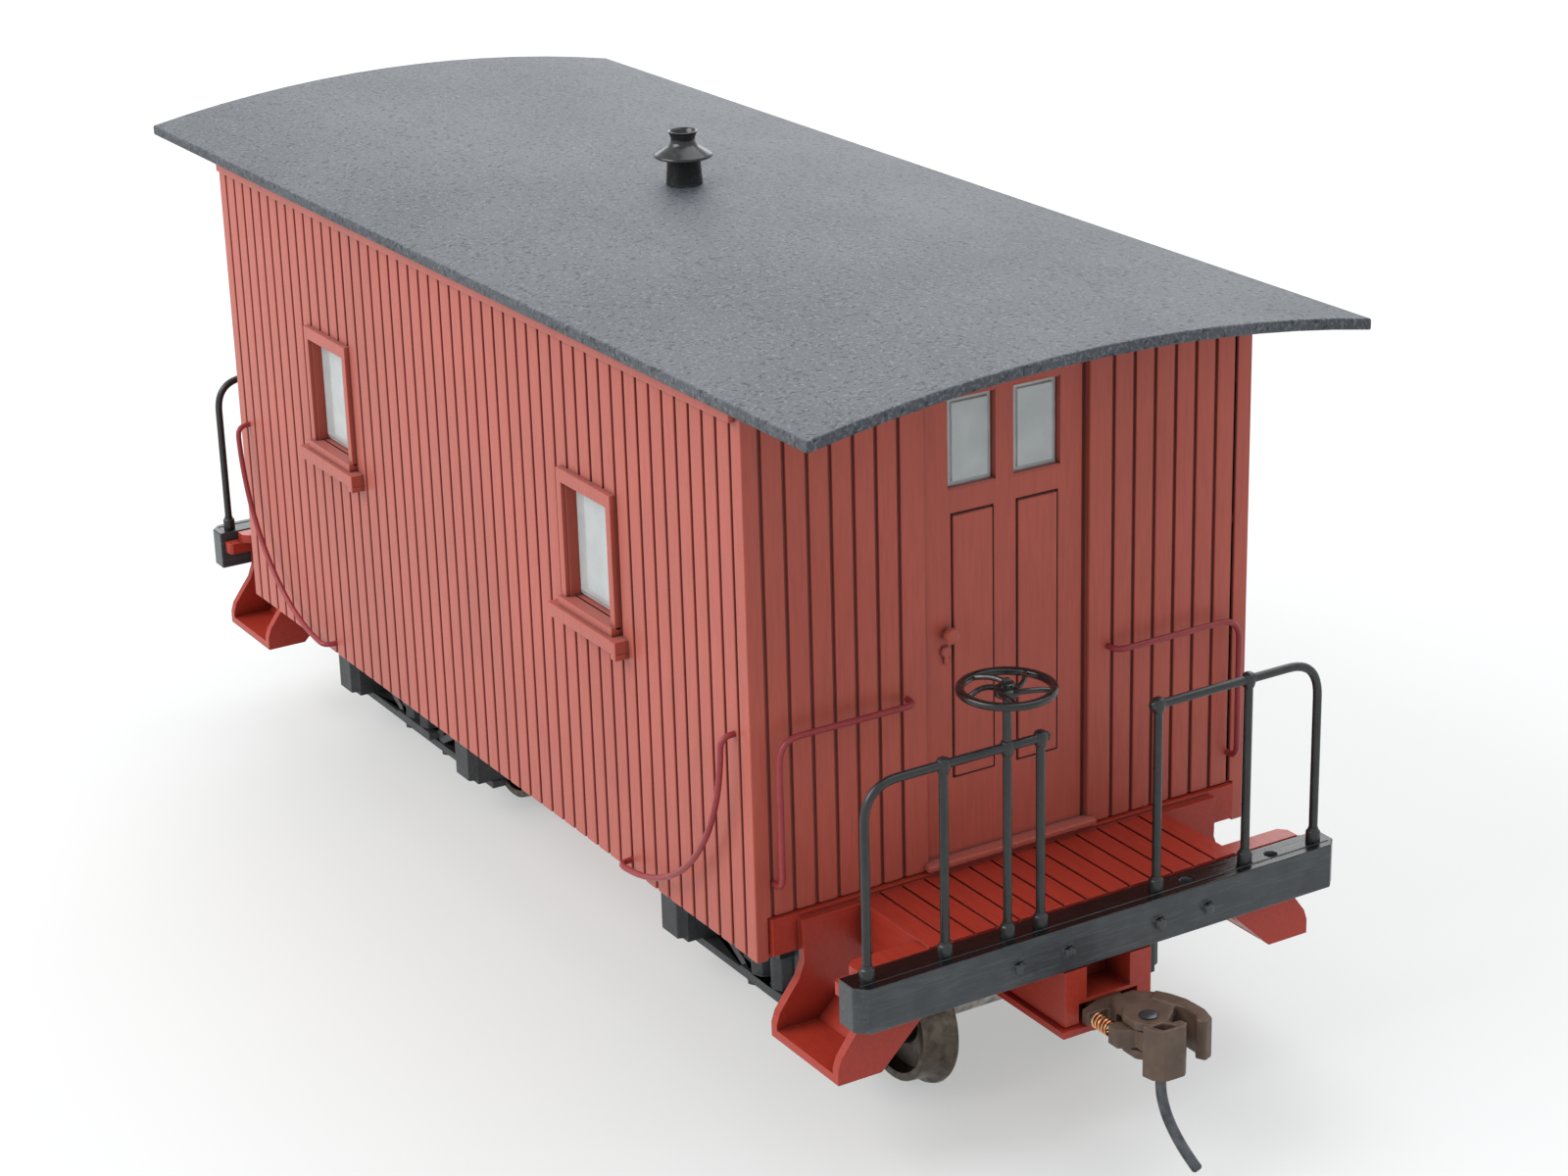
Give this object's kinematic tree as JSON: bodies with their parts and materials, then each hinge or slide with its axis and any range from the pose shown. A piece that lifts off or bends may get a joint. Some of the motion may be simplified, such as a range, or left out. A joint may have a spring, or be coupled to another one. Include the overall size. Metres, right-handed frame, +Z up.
{
  "type": "model caboose",
  "caption": "Small-scale freight-train caboose: boarded body, arched overhanging roof, railed end platforms, swivelling archbar trucks and swinging knuckle couplers.",
  "frame": {"origin": "on the table the wheels stand on, under the middle of the car", "axes": "+X along the car towards its front platform, +Y to the car's left, +Z up"},
  "size_m": [0.1442, 0.0492, 0.0666],
  "materials": {
    "body_red": "satin moulded oxide red",
    "frame_red": "semi-gloss moulded oxide red",
    "wire_red": "painted wire",
    "roof_black": "fine textured matte",
    "gloss_black": "gloss",
    "frame_black": "satin",
    "truck_black": "satin",
    "clear": "clear moulded styrene",
    "steel": "dull",
    "axle_steel": "blackened",
    "wheel_metal": "blackened metal, tread bright",
    "coupler_brown": "moulded brown acetal",
    "pin_black": "blackened steel wire",
    "copper": "bright phosphor-bronze wire"
  },
  "bodies": {
    "car": {"body_shell": "body_red", "roof": "roof_black", "smokejack": "gloss_black", "glazing_side_left": "clear", "glazing_side_right": "clear", "glazing_door_front": "clear", "glazing_door_rear": "clear", "grab_iron_side_left_front": "wire_red", "grab_iron_side_left_rear": "wire_red", "grab_iron_end_left_front": "wire_red", "grab_iron_end_left_rear": "wire_red", "grab_iron_side_right_front": "wire_red", "grab_iron_side_right_rear": "wire_red", "grab_iron_end_right_front": "wire_red", "grab_iron_end_right_rear": "wire_red", "underframe": "frame_red", "ballast_weight": "steel", "end_beam_front": "frame_black", "railing_left_front": "frame_black", "railing_right_front": "frame_black", "draft_gear_lid_front": "frame_red", "draft_gear_screw_front": "steel", "truck_screw_front": "steel", "end_beam_rear": "frame_black", "railing_left_rear": "frame_black", "railing_right_rear": "frame_black", "draft_gear_lid_rear": "frame_red", "draft_gear_screw_rear": "steel", "truck_screw_rear": "steel"},
    "truck_front": {"truck_frame_front": "truck_black"},
    "wheelset_outer_front": {"axle_outer_front": "axle_steel", "wheel_outer_left_front": "wheel_metal", "wheel_outer_right_front": "wheel_metal"},
    "wheelset_inner_front": {"axle_inner_front": "axle_steel", "wheel_inner_left_front": "wheel_metal", "wheel_inner_right_front": "wheel_metal"},
    "coupler_front": {"coupler_body_front": "coupler_brown", "knuckle_rivet_front": "coupler_brown", "knuckle_spring_front": "copper"},
    "knuckle_front": {"coupler_knuckle_front": "coupler_brown", "trip_pin_front": "pin_black"},
    "handwheel_front": {"brake_wheel_front": "gloss_black"},
    "truck_rear": {"truck_frame_rear": "truck_black"},
    "wheelset_outer_rear": {"axle_outer_rear": "axle_steel", "wheel_outer_left_rear": "wheel_metal", "wheel_outer_right_rear": "wheel_metal"},
    "wheelset_inner_rear": {"axle_inner_rear": "axle_steel", "wheel_inner_left_rear": "wheel_metal", "wheel_inner_right_rear": "wheel_metal"},
    "coupler_rear": {"coupler_body_rear": "coupler_brown", "knuckle_rivet_rear": "coupler_brown", "knuckle_spring_rear": "copper"},
    "knuckle_rear": {"coupler_knuckle_rear": "coupler_brown", "trip_pin_rear": "pin_black"},
    "handwheel_rear": {"brake_wheel_rear": "gloss_black"}
  },
  "joints": [
    {"name": "truck_front_swivel", "type": "hinge", "parent": "car", "child": "truck_front", "pos_m": [0.0325, 0, 0.012], "axis": [0, 0, 1], "range_deg": [-8, 8]},
    {"name": "wheelset_outer_front_roll", "type": "hinge", "parent": "truck_front", "child": "wheelset_outer_front", "pos_m": [0.0455, 0, 0.00563], "axis": [0, 1, 0], "continuous": true},
    {"name": "wheelset_inner_front_roll", "type": "hinge", "parent": "truck_front", "child": "wheelset_inner_front", "pos_m": [0.0195, 0, 0.00563], "axis": [0, 1, 0], "continuous": true},
    {"name": "coupler_front_swing", "type": "hinge", "parent": "car", "child": "coupler_front", "pos_m": [0.0532, 0, 0.0108], "axis": [0, 0, 1], "range_deg": [-6, 6]},
    {"name": "knuckle_front_open", "type": "hinge", "parent": "coupler_front", "child": "knuckle_front", "pos_m": [0.0659, -0.0005, 0.0108], "axis": [0, 0, -1], "range_deg": [0, 25], "deforming": ["knuckle_spring_front"]},
    {"name": "brake_wheel_front_turn", "type": "hinge", "parent": "car", "child": "handwheel_front", "pos_m": [0.059, -0.0083, 0.038], "axis": [0, 0, 1], "continuous": true},
    {"name": "truck_rear_swivel", "type": "hinge", "parent": "car", "child": "truck_rear", "pos_m": [-0.0325, 0, 0.012], "axis": [0, 0, 1], "range_deg": [-8, 8]},
    {"name": "wheelset_outer_rear_roll", "type": "hinge", "parent": "truck_rear", "child": "wheelset_outer_rear", "pos_m": [-0.0455, 0, 0.00563], "axis": [0, 1, 0], "continuous": true},
    {"name": "wheelset_inner_rear_roll", "type": "hinge", "parent": "truck_rear", "child": "wheelset_inner_rear", "pos_m": [-0.0195, 0, 0.00563], "axis": [0, 1, 0], "continuous": true},
    {"name": "coupler_rear_swing", "type": "hinge", "parent": "car", "child": "coupler_rear", "pos_m": [-0.0532, 0, 0.0108], "axis": [0, 0, 1], "range_deg": [-6, 6]},
    {"name": "knuckle_rear_open", "type": "hinge", "parent": "coupler_rear", "child": "knuckle_rear", "pos_m": [-0.0659, 0.0005, 0.0108], "axis": [0, 0, -1], "range_deg": [0, 25], "deforming": ["knuckle_spring_rear"]},
    {"name": "brake_wheel_rear_turn", "type": "hinge", "parent": "car", "child": "handwheel_rear", "pos_m": [-0.059, 0.0083, 0.038], "axis": [0, 0, 1], "continuous": true}
  ]
}
